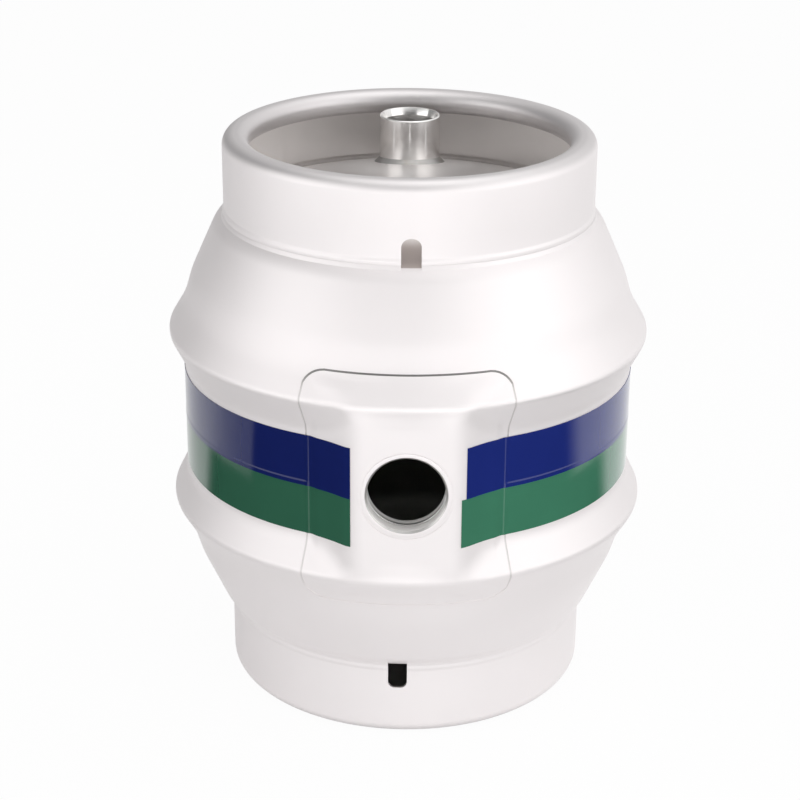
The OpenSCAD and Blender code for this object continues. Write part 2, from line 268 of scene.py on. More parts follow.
class PlateSizes(bpy.types.PropertyGroup):
    """Outline and pad of the shive plate."""

    half_angle: angle("Half angle", "Half the angle that the plate takes up", 24.2)
    half_w: length("Half width", "Half width of the rounded outline", 68.2 * MM)
    half_h: length("Half height", "Half height of the rounded outline", PLATE_H / 2)
    corner_r: length("Corner", "Radius of the outline's corners", 17 * MM)
    weld_w: length("Weld", "Width of the weld round the plate", 1.2 * MM)
    pad_y: length("Pad face", "Distance of the pad's face from the axis", -SHIVE_BOX[0].y - 0.3 * MM)
    pad_half_w: length("Pad half width", "Half width of the pad's face", 34.5 * MM)
    pad_half_h: length("Pad half height", "Half height of the pad's face", 60.5 * MM)
    side_angle: angle("Pad side slope", "Slope of the pad's sides from its face", 40)
    end_angle: angle("Pad end slope", "Slope of the pad's ends from its face", 42)
    side_crease: length("Side crease", "Softness of the creases at the pad's sides", 6 * MM)
    end_crease: length("End crease", "Softness of the creases at the pad's ends", 10 * MM)
    valley: length("Valley", "Softness of the creases between pad and vessel", 6 * MM)
    fade: length("Fade", "Distance from the weld over which the pad's softness fades", 8 * MM)
    hole_gap: length("Hole gap", "Width of the weld round the filling bush", 1.4 * MM)
    step: length("Mesh step", "Size of the plate's faces", 1.1 * MM)


class BushSizes(bpy.types.PropertyGroup):
    """The filling bush in the pad and the tap bush on the head."""

    shive_r: length("Filling bush", "Outside radius of the filling bush", SHIVE_BOX[1].x)
    shive_z: length("Filling bush height", "Its height above the floor", SHIVE_Z)
    shive_y: length("Filling bush face", "Distance of its face from the axis", -SHIVE_BOX[0].y)
    shive_l: length("Filling bush length", "Its length", SHIVE_BOX[1].y - SHIVE_BOX[0].y)
    shive_wall: length("Filling bush wall", "Its wall", 3.9 * MM)
    mouth: length("Mouth", "Width of the bevel at the mouth of the bore", 1.4 * MM)
    groove_w: length("Groove width", "Width of the groove in the bore", 1.6 * MM)
    groove_t: length("Groove depth", "Depth of that groove", 0.8 * MM)
    groove_y: length("Groove place", "Distance of that groove from the mouth", 9 * MM)
    tap_r: length("Tap bush", "Outside radius of the tap bush", KEYSTONE_BOX[1].x)
    tap_y: length("Tap bush place", "Its distance from the axis", KEYSTONE_Y)
    tap_low: length("Tap bush foot", "Height of its lower end", KEYSTONE_BOX[0].z)
    tap_high: length("Tap bush top", "Height of its top", KEYSTONE_BOX[1].z)
    tap_wall: length("Tap bush wall", "Its wall", 3.25 * MM)
    tap_bevel: length("Tap bush bevel", "Width of its bevels", 0.6 * MM)
    tap_mouth: length("Tap bush mouth", "Width of the flare at the mouth of its bore", 2 * MM)
    tap_mouth_h: length("Tap bush flare", "Depth of that flare", 5 * MM)
    edge_r: length("Edge", "Radius of the turned edges", 0.25 * MM)
    shive_rough: number("Filling bush roughness", "Least roughness of its bore", 0.85)
    shive_metal: number("Filling bush metal", "How metallic its matt bore looks", 0.45)
    polish_w: length("Polish", "Width of the polished band in its bore, from the groove inwards", 4.6 * MM)
    tap_rough: number("Tap bush roughness", "Least roughness of its faces", 0.16)
    tap_stretch: number("Tap bush stretch", "How far its tool marks stretch its highlights", 0.85)


class BandSizes(bpy.types.PropertyGroup):
    """The two bands of tape round the belly."""

    lift: length("Thickness", "Thickness of the tape", 0.4 * MM)
    blue_low: length("Blue lower edge", "Height above the floor", BLUE_BOX[0].z)
    blue_high: length("Blue upper edge", "Height above the floor", BLUE_BOX[1].z)
    green_low: length("Green lower edge", "Height above the floor", GREEN_BOX[0].z)
    green_high: length("Green upper edge", "Height above the floor", GREEN_BOX[1].z)
    left: length("Left ends", "Distance of the left ends from the middle of the pad", 36 * MM)
    blue_right: length("Blue right end", "Distance from the middle of the pad", 38.5 * MM)
    green_right: length("Green right end", "Distance from the middle of the pad", 35.5 * MM)
    lap_h: length("Lap", "Height of the strip where the blue tape lies on the green", 3.2 * MM)
    lap_t: length("Lap step", "How far that strip stands out", 0.16 * MM)
    seam_w: length("Seam width", "Width of the plate's weld as it shows through the tape", 1.4 * MM)
    seam_t: length("Seam height", "How far the tape rises over that weld", 0.31 * MM)
    # Painted light: this makes the tape's colour paler on its right side, where the light falls more
    # strongly
    fade: number("Fade", "How much paler the tape is on its right side", 0.8)


class Finishes(bpy.types.PropertyGroup):
    """Colours of the finishes."""

    satin: colour("Satin steel", "Bead-blasted outside of the cask", (0.89, 0.858, 0.86))
    spun: colour("Spun steel", "Heads and insides of the chimes", (0.94, 0.91, 0.895))
    dull: colour("Pickled steel", "Inside of the vessel", (0.56, 0.56, 0.53))
    turned: colour("Turned steel", "Bushes", (0.93, 0.915, 0.9))
    weld: colour("Weld", "Dressed welds", (0.45, 0.44, 0.43))
    blue: colour("Blue tape", "Upper band", (0.0055, 0.011, 0.082))
    green: colour("Green tape", "Lower band", (0.023, 0.09, 0.054))


class StageSettings(bpy.types.PropertyGroup):
    """Camera, lamps and floor."""

    camera_y: length("Camera distance", "Distance of the camera in front of the axis", 1.3179)
    camera_z: length("Camera height", "Height of the camera above the floor", 0.7406)
    pitch: angle("Pitch", "How far the camera looks down", 22.395)
    pan: angle("Pan", "How far the camera turns to the left", 0.227)
    roll: angle("Roll", "How far the camera rolls about its own axis", 0.426)
    lens: number("Lens", "Focal length in millimetres on a 36 mm sensor", 89.91)
    floor_half: length("Floor", "Half width of the floor", 4)
    floor: colour("Floor colour", "Colour of the floor", (0.78, 0.78, 0.78))
    show: number("Floor white", "Share of plain white in what the camera sees of the floor", 0.95)
    shine_left: number("Floor shine at the left", "The same share in what reflections see of it", 0.12)
    shine_right: number("Floor shine at the right", "The same at the right", 0.85)
    shade_r: length("Floor shade", "Radius of the shaded floor under the cask", 0.116)
    sky_left: number("Sky at the left", "Strength of the even light from the left", 0.27)
    sky_right: number("Sky at the right", "Strength of the even light from the right", 1.0)
    sky_high: number("Sky overhead", "How much stronger the even light is overhead", 0.5)
    right: number("Right lamp", "Power of the soft box at the front right, in watts", 5.6)
    left: number("Left lamp", "Power of the soft box at the front left, in watts", 10)
    top: number("Top lamp", "Power of the soft box overhead, in watts", 3.6)
    front: number("Front lamp", "Power of the low soft box behind the camera, in watts", 9.8)
    lamp_turn: angle("Lamp turn", "How far the side lamps stand to the side", 62)
    lamp_rise: angle("Lamp rise", "How high the side lamps stand", 16)
    lamp_reach: length("Lamp distance", "Distance of the lamps from the cask", 1.7)
    lamp_w: length("Lamp width", "Width of the side soft boxes", 1.6)
    lamp_h: length("Lamp height", "Height of the side soft boxes", 1.4)
    top_w: length("Top lamp size", "Width of the soft box overhead", 1.2)
    front_w: length("Front lamp width", "Width of the soft box behind the camera", 2.2)
    front_h: length("Front lamp height", "Height of the soft box behind the camera", 0.5)
    front_z: length("Front lamp place", "Height of its middle above the floor", 0.3)
    sky_gap: number("Sky gap", "How much dimmer the sky is behind the camera", 0.96)
    gap_inner: angle("Gap inside", "How far to the side that gap stays dim", 13)
    gap_outer: angle("Gap outside", "How far to the side that gap ends", 33)
    gap_low: angle("Gap height", "Height up to which that gap stays dim", 26)
    gap_high: angle("Gap top", "Height at which that gap ends", 46)
    card_near: length("Card near edge", "Distance of the dark card's near edge from the axis", 0.4)
    card_far: length("Card far edge", "Distance of its far edge from the axis", 0.74)
    card_gap: angle("Card gap", "Where both arcs of the card begin, from the front", 30)
    card_left: angle("Card left side", "Where the outer part of its left arc begins to fade", 72)
    card_right: angle("Card right side", "The same for its right arc", 76)
    card_end: angle("Card end", "Where the inner parts of both arcs end", 112)
    card_step: length("Card step", "Radius where its inner part becomes its outer part", 0.535)
    left_clear: number("Left clearness", "How clear the left arc becomes there", 0.7)
    left_fade: angle("Left fade", "Angle over which the left arc fades", 4)
    right_fade: angle("Right fade", "Angle over which the right arc and the inner parts fade", 14)
    card: colour("Card colour", "Colour of the card", (0.012, 0.012, 0.012))


# Shader expressions


class Socket:
    """An output of a shader node. Arithmetic on it adds Math nodes."""

    def __init__(self, finish, output):
        self.finish = finish
        self.output = output

    def __add__(self, other):
        return self.finish.math("ADD", self, other)

    def __radd__(self, other):
        return self.finish.math("ADD", other, self)

    def __sub__(self, other):
        return self.finish.math("SUBTRACT", self, other)

    def __rsub__(self, other):
        return self.finish.math("SUBTRACT", other, self)

    def __mul__(self, other):
        return self.finish.math("MULTIPLY", self, other)

    def __rmul__(self, other):
        return self.finish.math("MULTIPLY", other, self)


class Finish:
    """A node tree that is written as expressions on sockets."""

    def __init__(self, tree):
        self.tree = tree
        tree.nodes.clear()

    def node(self, kind, settings=None, inputs=None, output=0):
        """Adds a node, sets it up, then fills or links its inputs, and gives one of its outputs."""
        made = self.tree.nodes.new("ShaderNode" + kind)
        for name, value in (settings or {}).items():
            setattr(made, name, value)
        for name, value in (inputs or {}).items():
            if isinstance(value, Socket):
                self.tree.links.new(value.output, made.inputs[name])
            else:
                made.inputs[name].default_value = value
        return Socket(self, made.outputs[output] if made.outputs else None)

    def math(self, operation, first, second=0.0):
        return self.node("Math", {"operation": operation}, {0: first, 1: second})

    def mix(self, factor, first, second):
        """A colour between two others."""
        inputs = {0: factor, 6: opaque(first), 7: opaque(second)}
        return self.node("Mix", {"data_type": "RGBA"}, inputs, 2)

    def blend(self, factor, first, second):
        """A number between two others."""
        return self.node("Mix", {"data_type": "FLOAT"}, {0: factor, 2: first, 3: second})

    def rise(self, value, low, high):
        """0 below low, 1 above high and a smooth rise between them."""
        inputs = {"Value": value, "From Min": low, "From Max": high}
        return self.node("MapRange", {"interpolation_type": "SMOOTHSTEP"}, inputs)

    def spot(self):
        """The place on the object, in metres."""
        return self.node("TexCoord", output="Object")

    def axes(self, vector):
        """The three parts of a vector."""
        split = self.node("SeparateXYZ", inputs={0: vector}).output.node
        return [Socket(self, part) for part in split.outputs]

    def radius(self, x, y):
        """Distance from the axis that x and y are measured from."""
        return self.math("SQRT", x * x + y * y)

    def pair(self, first, second):
        """A vector of two numbers."""
        return self.node("CombineXYZ", inputs={0: first, 1: second, 2: 0.0})

    def stretched(self, vector, scale):
        """A vector with each of its parts scaled."""
        return self.node("VectorMath", {"operation": "MULTIPLY"}, {0: vector, 1: scale})

    def noise(self, vector, scale, detail, roughness):
        """A cloudy pattern between 0 and 1."""
        inputs = {"Vector": vector, "Scale": scale, "Detail": detail, "Roughness": roughness}
        return self.node("TexNoise", inputs=inputs, output="Fac")

    def bump(self, height, distance, strength):
        """The normal of a surface that rises by up to distance where height is 1."""
        inputs = {"Height": height, "Distance": distance, "Strength": strength}
        return self.node("Bump", inputs=inputs, output="Normal")

    def steel(self, base, rough, more=None):
        """A bare metal surface, with more of its shader's inputs where they are given."""
        inputs = {"Base Color": base, "Metallic": 1.0, "Roughness": rough}
        inputs.update(more or {})
        return self.node("BsdfPrincipled", inputs=inputs)


def opaque(value):
    """A colour with its alpha, or the socket it already is."""
    return value if isinstance(value, Socket) else (*value, 1.0)


def shade(tint, share):
    """A tint made darker, or lighter where the share is above 1."""
    return [part * share for part in tint]


def finished(context, name, make, *settings):
    """The material of that name. The first time it is asked for, make gives it its shader."""
    material = bpy.data.materials.get(name)
    if material is None:
        material = bpy.data.materials.new(name)
        material.use_nodes = True
        finish = Finish(material.node_tree)
        shader = make(finish, context.scene, *settings)
        finish.node("OutputMaterial", inputs={"Surface": shader})
    return material


# Materials


def satin_steel(finish, scene):
    """Bead-blasted stainless: matt, finely grained, a little cloudy, rubbed smooth on the rings and rims,
    with painted shade darkening the rims.
    """
    tint = scene.cask_finishes.satin
    vessel = scene.cask_vessel
    chime = scene.cask_chime
    spot = finish.spot()
    x, y, z = finish.axes(spot)
    clouds = finish.noise(spot, scale=14.0, detail=3.0, roughness=0.55)
    grain = finish.noise(spot, scale=2600.0, detail=2.0, roughness=0.6)
    scratches = finish.stretched(spot, SCRATCH_SCALES)
    lines = finish.noise(scratches, scale=1.0, detail=3.0, roughness=0.6)
    radius = finish.radius(x, y)
    height = finish.math("ABSOLUTE", z - vessel.mid_z)
    off_crest = finish.math("ABSOLUTE", height - vessel.ring_z)
    on_crest = finish.rise(radius, vessel.ring_r - CREST_RUB_T, vessel.ring_r)
    rubbed = on_crest * (1.0 - finish.rise(off_crest, 0.0, CREST_RUB_H))
    scuffs = rubbed * finish.rise(lines, 0.45, 0.7)
    to_rim = height + chime.foot_r - radius
    rim_shade_and_wear = finish.rise(to_rim, chime.rim_z - RIM_SHADE_AND_WEAR_BELOW, chime.rim_z + RIM_SHADE_AND_WEAR_ABOVE)
    clean = finish.mix(clouds * 0.6 - 0.05, shade(tint, 0.93), tint)
    # Painted shade: the rims are darkened here, as well as made smoother by wear below
    base = finish.mix(rim_shade_and_wear * 0.6, clean, shade(tint, 0.66))
    rough = SATIN_ROUGH + clouds * 0.08 + grain * 0.05 - scuffs * 0.1 - rim_shade_and_wear * 0.14
    return finish.steel(base, rough, {"Normal": finish.bump(grain, GRAIN_T, 0.35)})


def head_steel(finish, scene):
    """The spun heads, darkened with painted shade round their edge and most of all by the slots."""
    return spun_steel(finish, scene, HEAD_ROUGH, HEAD_STRETCH, ACROSS_LINES, scene.cask_chime.foot_r)


def wall_steel(finish, scene):
    """The insides of the chimes, which are brushed more strongly than the heads."""
    return spun_steel(finish, scene, WALL_ROUGH, WALL_STRETCH, ALONG_LINES, OUT_OF_REACH)


def spun_steel(finish, scene, least_rough, stretch, stretch_turn, painted_shade_r):
    """Smooth rolled stainless with fine lines round the cask, darkened with painted shade by the slots out
    near its given radius.
    """
    tint = scene.cask_finishes.spun
    slots = scene.cask_chime.slot_count
    spot = finish.spot()
    x, y, z = finish.axes(spot)
    radius = finish.radius(x, y)
    across = finish.pair(radius * SPUN_LINES, z * SPUN_LINES)
    lines = finish.noise(across, scale=1.0, detail=4.0, roughness=0.6)
    clouds = finish.noise(spot, scale=22.0, detail=3.0, roughness=0.55)
    slot_wave = finish.math("COSINE", finish.math("ARCTAN2", x, y) * float(slots))
    at_slot = finish.rise(slot_wave, 0.7, 0.95)
    # Painted shade: the head is darkened near its edge under the chime, most of all where the slots are
    outside = finish.rise(radius + clouds * SLOT_SHADE_WAVER, painted_shade_r - SLOT_SHADE_FROM, painted_shade_r - SLOT_SHADE_FULL)
    painted_shade = outside * (at_slot * 0.9 + 0.08)
    bright = finish.mix(clouds * 0.9 + lines * 0.1, shade(tint, 0.9), tint)
    painted_shade_colour = [part * share for part, share in zip(tint, SLOT_SHADE_SHARES)]
    base = finish.mix(painted_shade, bright, painted_shade_colour)
    rough = least_rough + clouds * 0.08 + lines * 0.02 + painted_shade * 0.2
    return finish.steel(base, rough, {
        "Normal": finish.bump(lines, LINES_T, 0.08),
        "Anisotropic": stretch, "Anisotropic Rotation": stretch_turn,
    })


def mouth_steel(finish, scene):
    """The bevel at the mouth of the filling bush, darkened with painted shade, and patchy with rub marks."""
    tint = scene.cask_finishes.weld
    rubs = finish.noise(finish.spot(), scale=180.0, detail=3.0, roughness=0.6)
    # Painted shade: the bevel takes the dark weld colour, standing in for the shadow at the hole's edge
    return finish.steel(finish.mix(rubs, tint, shade(tint, 1.35)), MOUTH_ROUGH + rubs * 0.12)


def dull_steel(finish, scene):
    """Pickled inside of the vessel, dark and dull."""
    tint = scene.cask_finishes.dull
    clouds = finish.noise(finish.spot(), scale=30.0, detail=4.0, roughness=0.6)
    return finish.steel(finish.mix(clouds, shade(tint, 0.7), tint), DULL_ROUGH + clouds * 0.15)


def turned_steel(finish, scene, along, middle, least_rough, stretch, metal=1.0, band=(0.0, 0.0)):
    """Turned stainless with fine tool marks along one axis of a bush, polished in a band of its bore."""
    tint = scene.cask_finishes.turned
    mapped = {"Vector": finish.spot(), "Location": middle}
    placed = finish.node("Mapping", {"vector_type": "POINT"}, mapped)
    parts = finish.axes(placed)
    depth = parts.pop(along)
    marks_at = finish.pair(depth * TOOL_MARKS, finish.radius(*parts) * TOOL_MARKS)
    marks = finish.noise(marks_at, scale=1.0, detail=2.0, roughness=0.6)
    clouds = finish.noise(placed, scale=70.0, detail=2.0, roughness=0.5)
    base = finish.mix(marks * 0.6 + clouds * 0.4, shade(tint, 0.84), tint)
    start, end = band
    past_start = finish.rise(depth, start, start + POLISH_EDGE)
    polished = past_start * (1.0 - finish.rise(depth, end - POLISH_EDGE, end))
    rough = finish.blend(polished, least_rough + marks * 0.08 + clouds * 0.05, POLISHED_ROUGH)
    return finish.steel(base, rough, {
        "Metallic": finish.blend(polished, metal, 1.0), "Normal": finish.bump(marks, MARKS_T, 0.3),
        "Anisotropic": stretch, "Anisotropic Rotation": ACROSS_LINES,
    })


def weld_steel(finish, scene):
    """Dressed weld: rippled, faintly straw, darkened with painted shade along the plate's top, and ground
    flush low down.
    """
    tint = scene.cask_finishes.weld
    half_h = scene.cask_plate.half_h
    spot = finish.spot()
    ripples = finish.noise(spot, scale=420.0, detail=2.0, roughness=0.5)
    patches = finish.noise(spot, scale=60.0, detail=3.0, roughness=0.6)
    straw = [part * share for part, share in zip(tint, STRAW_SHARES)]
    bead = finish.mix(finish.rise(patches, 0.45, 0.75) * 0.5, tint, straw)
    height = finish.axes(spot)[Z_PART] - scene.cask_vessel.mid_z
    raised = finish.rise(height, half_h * 0.8, half_h * 0.97) * 0.5
    raised = raised + finish.rise(height, -half_h, -half_h * 0.7) * 0.45 + 0.05
    # Painted shade: the weld's run along the plate's top is darkened, in place of the shadow line there
    painted_shade_on_top = finish.rise(height, half_h * 0.85, half_h * 0.98)
    painted_shade_on_top = painted_shade_on_top * (1.0 - finish.rise(height, half_h * 1.05, half_h * 1.1))
    base = finish.mix(raised, scene.cask_finishes.satin, bead)
    base = finish.mix(painted_shade_on_top, base, shade(tint, 0.5))
    rough = finish.blend(raised, FLUSH_ROUGH, WELD_ROUGH + ripples * 0.15)
    return finish.steel(base, rough, {"Normal": finish.bump(ripples * raised, RIPPLES_T, 0.6)})


def tape(finish, scene, tint, fade):
    """Glossy vinyl tape: deep colour, made paler on the right by painted light, under a clear face that
    isn't quite flat.
    """
    spot = finish.spot()
    ripples = finish.noise(spot, scale=160.0, detail=2.0, roughness=0.5)
    waves = finish.noise(spot, scale=28.0, detail=2.0, roughness=0.5)
    rubs = finish.noise(finish.stretched(spot, RUB_SCALES), scale=1.0, detail=3.0, roughness=0.6)
    worn = finish.rise(rubs, 0.58, 0.8)
    # Painted light: the colour grows paler towards the right, in place of the stronger light there
    painted_light_share = finish.rise(finish.axes(spot)[0], -PAINTED_LIGHT_HALF_W, PAINTED_LIGHT_HALF_W)
    light = shade(tint, 1 + fade)
    deep = finish.mix(painted_light_share, tint, light)
    pale = finish.mix(painted_light_share, shade(tint, TAPE_PALER), shade(light, TAPE_PALER))
    return finish.node("BsdfPrincipled", inputs={
        "Base Color": finish.mix(waves * 0.5 + worn * 0.25, deep, pale),
        "Metallic": 0.0, "IOR": 1.5, "Coat Weight": 0.5, "Coat Roughness": 0.05,
        "Roughness": TAPE_ROUGH + worn * 0.1 + ripples * 0.03,
        "Normal": finish.bump(ripples * 0.25 + waves, WAVES_T, 0.2),
    })


# Mesh work


def extrude_to(bm, tip, spot):
    """Draws a straight run from the vertex tip."""
    end = bmesh.ops.extrude_vert_indiv(bm, verts=[tip])["verts"][0]
    end.co = spot
    return end


def draw_path(bm, corners):
    """Draws a wire through (x, z, bend radius) corners, with a round bend at each inner corner."""
    spots = [Vector((x, 0, z)) for x, z, _ in corners]
    tip = bm.verts.new(spots[0])
    for before, spot, after, corner in zip(spots, spots[1:], spots[2:], corners[1:]):
        arrive = (spot - before).normalized()
        leave = (after - spot).normalized()
        turn = math.atan2(arrive.x * leave.z - arrive.z * leave.x, arrive.dot(leave))
        radius = corner[2]
        start = spot - arrive * radius * math.tan(abs(turn) / 2)
        tip = extrude_to(bm, tip, start)
        if radius > 0:
            left = Vector((-arrive.z, 0, arrive.x))
            centre = start + left * math.copysign(radius, turn)
            steps = max(2, math.ceil(abs(turn) * min(1 / BEND_STEP, radius / BEND_CHORD)))
            bend = bmesh.ops.spin(bm, geom=[tip], cent=centre, axis=(0, -1, 0), angle=turn, steps=steps)
            tip = next(part for part in bend["geom_last"] if isinstance(part, bmesh.types.BMVert))
    extrude_to(bm, tip, spots[-1])


def revolve(bm):
    """Turns the wire round the Z axis into a closed surface."""
    bmesh.ops.spin(
        bm, geom=bm.verts[:] + bm.edges[:], cent=(0, 0, 0), axis=(0, 0, 1),
        angle=2 * math.pi, steps=ROUND_STEPS, use_merge=True,
    )
    bmesh.ops.remove_doubles(bm, verts=bm.verts, dist=SAME_SPOT)
    bmesh.ops.dissolve_degenerate(bm, edges=bm.edges, dist=SAME_SPOT)
    bmesh.ops.recalc_face_normals(bm, faces=bm.faces)


def upside_down(bm):
    """Mirrors the mesh about mid-height, with its faces still pointing out."""
    bmesh.ops.scale(bm, vec=(1, 1, -1), verts=bm.verts)
    bmesh.ops.reverse_faces(bm, faces=bm.faces)


def thicken(bm, thickness, inside):
    """Gives the sheet its thickness, and its new faces the material of the index inside."""
    made = bmesh.ops.solidify(bm, geom=bm.faces[:], thickness=thickness)["geom"]
    for part in made:
        if isinstance(part, bmesh.types.BMFace):
            part.material_index = inside


def with_edges(faces):
    """The faces with their edges and vertices, each of them once, as an operator wants them."""
    edges = dict.fromkeys(edge for face in faces for edge in face.edges)
    verts = dict.fromkeys(vert for face in faces for vert in face.verts)
    return [*faces, *edges, *verts]


def faces_where(bm, near):
    """The faces with a vertex at a place for which near is true."""
    return [face for face in bm.faces if any(near(vert.co) for vert in face.verts)]


def cut_out(bm, planes, faces):
    """Cuts the faces along the planes and deletes what lies inside all of them."""
    inside = faces
    for spot, normal in planes:
        cut = bmesh.ops.bisect_plane(
            bm, geom=with_edges(inside), plane_co=spot, plane_no=normal, dist=SAME_SPOT
        )
        pieces = [part for part in cut["geom"] if isinstance(part, bmesh.types.BMFace)]
        inside = [face for face in pieces if (face.calc_center_median() - spot).dot(normal) < 0]
    bmesh.ops.delete(bm, geom=inside, context="FACES")


def cut_along(bm, planes, trim=False):
    """Cuts the whole mesh along the planes, and trims off what lies outside any of them if asked."""
    for spot, normal in planes:
        bmesh.ops.bisect_plane(
            bm, geom=bm.verts[:] + bm.edges[:] + bm.faces[:],
            plane_co=spot, plane_no=normal, dist=SAME_SPOT, clear_outer=trim,
        )


def arc_planes(centre, first, second, radius, turns):
    """Planes that touch a circle at some turns from the direction first towards second."""
    normals = [first * math.cos(turn) + second * math.sin(turn) for turn in turns]
    return [(centre + normal * radius, normal) for normal in normals]


def ring_planes(centre, first, second, radius, count):
    """Planes all round a circle that lies in the directions first and second."""
    turns = [2 * math.pi * k / count for k in range(count)]
    return arc_planes(centre, first, second, radius, turns)


def corner_planes(x, z, radius, x_side, z_side, count):
    """Planes round one corner of an outline that is seen along Y."""
    centre = Vector((x_side * (x - radius), 0, z_side * (z - radius)))
    turns = [math.pi / 2 * k / count for k in range(1, count)]
    return arc_planes(centre, X_AXIS * x_side, Z_AXIS * z_side, radius, turns)


def break_edges(bm, width):
    """Bevels every sharp edge of the sheet a little."""
    sharp = [edge for edge in bm.edges if edge.is_manifold and edge.calc_face_angle() > BROKEN_ANGLE]
    bmesh.ops.bevel(
        bm, geom=sharp, offset=width, offset_type="OFFSET", affect="EDGES",
        segments=2, profile=0.5, material=-1, clamp_overlap=True,
    )


def add_piece(bm, place, node, slot, *materials):
    """Moves the mesh to its place and makes a piece of it, in place of the CAD node of that name."""
    bmesh.ops.translate(bm, vec=place, verts=bm.verts)
    mesh = bpy.data.meshes.new(node + "_finished")
    bm.to_mesh(mesh)
    bm.free()
    for material in materials:
        mesh.materials.append(material)
    mesh.shade_smooth()
    mesh.set_sharp_from_angle(angle=SHARP_ANGLE)
    piece = bpy.data.objects.new(mesh.name, mesh)
    bpy.context.scene.collection.objects.link(piece)
    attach(piece, "root")
    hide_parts(node)


# Shape of the vessel


def shell_corners(vessel):
    """Corners of a shell's outer face, from the knuckle to the girth weld."""
    slope = vessel.head_slope
    run = vessel.knuckle_r / 2
    dome_r = (vessel.knuckle_x - run * math.cos(slope)) / math.sin(slope)
    dome_x = dome_r * math.sin(slope)
    dome_z = vessel.crown_z - dome_r * (1 - math.cos(slope))
    rise = vessel.ring_r - vessel.belly_r
    crest_turn = vessel.flank_angle + math.atan2(rise, vessel.ring_z - vessel.belly_half_h)
    crest_x = vessel.ring_r + vessel.crest_r * (1 / math.cos(crest_turn / 2) - 1)
    flank_x = crest_x - vessel.flank_h * math.tan(vessel.flank_angle)
    flank_z = vessel.ring_z + vessel.flank_h
    return [
        (dome_x, dome_z, 0),
        (vessel.knuckle_x, dome_z - run * math.sin(slope), vessel.knuckle_r),
        (flank_x - vessel.waist_in, flank_z + vessel.waist_h, vessel.waist_r),
        (flank_x, flank_z, vessel.waist_r),
        (crest_x, vessel.ring_z, vessel.crest_r),
        (vessel.belly_r, vessel.belly_half_h, vessel.belly_bend_r),
        (vessel.belly_r, vessel.girth_gap, 0),
    ]


def draw_shell(bm, vessel):
    """Draws a shell's outer face from its crown to the girth weld."""
    corners = shell_corners(vessel)
    draw_path(bm, corners)
    dome_x, dome_z, _ = corners[0]
    dome_r = dome_x / math.sin(vessel.head_slope)
    edge = min(bm.verts, key=lambda vert: (vert.co - Vector((dome_x, 0, dome_z))).length)
    steps = math.ceil(vessel.head_slope / BEND_STEP) * 2
    bmesh.ops.spin(
        bm, geom=[edge], cent=(0, 0, vessel.crown_z - dome_r), axis=(0, -1, 0),
        angle=vessel.head_slope, steps=steps,
    )


def wall_table(vessel):
    """(height, radius) pairs up the outer face, from the belly to the knuckle."""
    bm = bmesh.new()
    draw_path(bm, shell_corners(vessel))
    pairs = sorted((vert.co.z, vert.co.x) for vert in bm.verts)
    bm.free()
    return pairs


def wall_radius(table, z):
    """Radius of the vessel at a height above or below mid-height."""
    height = max(abs(z), table[0][0])
    k = min(max(bisect_left(table, (height, 0)), 1), len(table) - 1)
    (z0, r0), (z1, r1) = table[k - 1], table[k]
    return r0 + (r1 - r0) * (height - z0) / (z1 - z0)


def soft_least(a, b, width):
    """The lesser of two lengths, with the corner between them rounded over width."""
    near = max(width - abs(a - b), 0)
    return min(a, b) - near * near / (4 * width)


def soft_most(a, b, width):
    """The greater of two lengths, with the corner between them rounded over width."""
    return -soft_least(-a, -b, width)


def face_radius(plate, table, turn, z):
    """Radius of the outer face at an angle from the front and a height, pad included."""
    wall = wall_radius(table, z)
    turn = abs(turn)
    inset = min((plate.half_angle - turn) * wall, plate.half_h - abs(z))
    if inset <= 0:
        return wall
    side_r = plate.pad_half_w * math.sin(plate.side_angle) + plate.pad_y * math.cos(plate.side_angle)
    side = side_r / math.cos(plate.side_angle - turn)
    front = plate.pad_y / math.cos(turn)
    past_end = max(abs(z) - plate.pad_half_h, -plate.pad_half_h)
    end = front - past_end * math.tan(plate.end_angle) / math.cos(turn)
    pad = soft_least(soft_least(front, side, plate.side_crease), end, plate.end_crease)
    softness = plate.valley * min(inset / plate.fade, 1)
    return soft_most(wall, pad, max(softness, SAME_SPOT))


def plate_planes(plate, grow):
    """Planes round the shive plate's outline, grown by a gap."""
    half_w = plate.half_w + grow
    half_h = plate.half_h + grow
    corner_r = plate.corner_r + grow
    planes = []
    for side in (-1, 1):
        normal = Vector((side * math.cos(plate.half_angle), math.sin(plate.half_angle), 0))
        planes.append((normal * grow, normal))
        normal = Z_AXIS * side
        planes.append((normal * half_h, normal))
        for up in (-1, 1):
            planes += corner_planes(half_w, half_h, corner_r, side, up, PLATE_CORNER_SIDES)
    return planes


# Pieces


